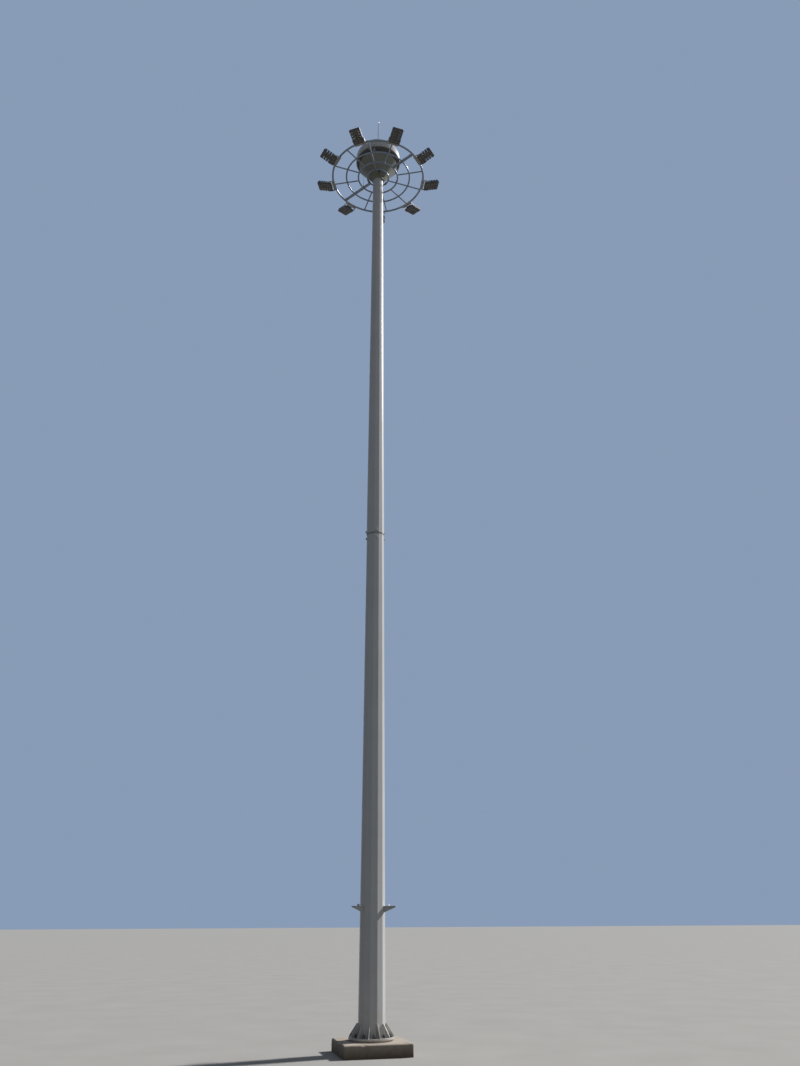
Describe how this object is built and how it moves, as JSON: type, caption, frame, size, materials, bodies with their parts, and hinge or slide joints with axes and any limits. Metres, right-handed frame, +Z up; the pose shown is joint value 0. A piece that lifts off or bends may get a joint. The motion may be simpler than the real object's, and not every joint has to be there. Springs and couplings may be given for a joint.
{
  "type": "high mast street light with lowering lamp ring",
  "caption": "Tall tapered twelve-sided steel mast on a concrete plinth, with a hooped lamp ring of tilting floodlights that runs down the shaft on wires, and a domed hood.",
  "frame": {"origin": "centre of the plinth's underside, on the shaft's axis", "axes": "+Z up the shaft; one flat side of the twelve-sided shaft looks along -Y; the service door looks along +Y"},
  "size_m": [3.9748, 4.0237, 27.33],
  "materials": {
    "concrete": "cast, weathered",
    "grout": "trowelled",
    "shaft_steel": "satin light grey",
    "base_steel": "satin light grey",
    "ring_steel": "satin grey",
    "cone_steel": "dull grey-brown",
    "head_steel": "galvanized",
    "hood_white": "gloss white",
    "rod_steel": "bright",
    "wire_steel": "stranded wire",
    "roller_rubber": "matt",
    "lamp_casting": "dark painted casting",
    "lamp_optic": "dark lens tray"
  },
  "bodies": {
    "mast": {"plinth": "concrete", "grout_bed": "grout", "base_flange": "base_steel", "base_gussets": "base_steel", "lower_shaft": "shaft_steel", "upper_shaft": "shaft_steel", "joint_lugs": "shaft_steel", "door_frame": "base_steel", "service_door": "base_steel", "rest_brackets": "base_steel", "head_cone": "cone_steel", "head_plate": "head_steel", "pulley_arms": "head_steel", "head_pulleys": "head_steel", "hood": "hood_white", "lightning_rod": "rod_steel", "suspension_wires": "wire_steel"},
    "lamp_ring": {"outer_ring": "ring_steel", "middle_ring": "ring_steel", "inner_ring": "ring_steel", "guide_ring": "ring_steel", "outer_spokes": "ring_steel", "inner_spokes": "ring_steel", "guide_arms": "ring_steel", "roller_forks": "ring_steel", "guide_rollers": "roller_rubber", "wire_lugs": "ring_steel", "lamp_yokes": "ring_steel"},
    "lamp_1": {"lamp_1_housing": "lamp_casting", "lamp_1_optic": "lamp_optic"},
    "lamp_2": {"lamp_2_housing": "lamp_casting", "lamp_2_optic": "lamp_optic"},
    "lamp_3": {"lamp_3_housing": "lamp_casting", "lamp_3_optic": "lamp_optic"},
    "lamp_4": {"lamp_4_housing": "lamp_casting", "lamp_4_optic": "lamp_optic"},
    "lamp_5": {"lamp_5_housing": "lamp_casting", "lamp_5_optic": "lamp_optic"},
    "lamp_6": {"lamp_6_housing": "lamp_casting", "lamp_6_optic": "lamp_optic"},
    "lamp_7": {"lamp_7_housing": "lamp_casting", "lamp_7_optic": "lamp_optic"},
    "lamp_8": {"lamp_8_housing": "lamp_casting", "lamp_8_optic": "lamp_optic"},
    "lamp_9": {"lamp_9_housing": "lamp_casting", "lamp_9_optic": "lamp_optic"}
  },
  "joints": [
    {"name": "ring_travel", "type": "slide", "parent": "mast", "child": "lamp_ring", "axis": [0, 0, 1], "range_m": [-21.88, 0], "deforming": ["suspension_wires"]},
    {"name": "lamp_1_tilt", "type": "hinge", "parent": "lamp_ring", "child": "lamp_1", "pos_m": [1.66475, 0.02906, 24.69], "axis": [0.0175, -0.9998, 0], "range_deg": [-17, 38]},
    {"name": "lamp_2_tilt", "type": "hinge", "parent": "lamp_ring", "child": "lamp_2", "pos_m": [1.25659, 1.09234, 24.69], "axis": [0.6561, -0.7547, 0], "range_deg": [-17, 38]},
    {"name": "lamp_3_tilt", "type": "hinge", "parent": "lamp_ring", "child": "lamp_3", "pos_m": [0.26046, 1.6445, 24.69], "axis": [0.9877, -0.1564, 0], "range_deg": [-17, 38]},
    {"name": "lamp_4_tilt", "type": "hinge", "parent": "lamp_ring", "child": "lamp_4", "pos_m": [-0.85754, 1.42718, 24.69], "axis": [0.8572, 0.515, 0], "range_deg": [-17, 38]},
    {"name": "lamp_5_tilt", "type": "hinge", "parent": "lamp_ring", "child": "lamp_5", "pos_m": [-1.57429, 0.54207, 24.69], "axis": [0.3256, 0.9455, 0], "range_deg": [-17, 38]},
    {"name": "lamp_6_tilt", "type": "hinge", "parent": "lamp_ring", "child": "lamp_6", "pos_m": [-1.55441, -0.59668, 24.69], "axis": [-0.3584, 0.9336, 0], "range_deg": [-17, 38]},
    {"name": "lamp_7_tilt", "type": "hinge", "parent": "lamp_ring", "child": "lamp_7", "pos_m": [-0.80721, -1.45624, 24.69], "axis": [-0.8746, 0.4848, 0], "range_deg": [-17, 38]},
    {"name": "lamp_8_tilt", "type": "hinge", "parent": "lamp_ring", "child": "lamp_8", "pos_m": [0.3177, -1.63441, 24.69], "axis": [-0.9816, -0.1908, 0], "range_deg": [-17, 38]},
    {"name": "lamp_9_tilt", "type": "hinge", "parent": "lamp_ring", "child": "lamp_9", "pos_m": [1.29395, -1.04782, 24.69], "axis": [-0.6293, -0.7771, 0], "range_deg": [-17, 38]}
  ]
}
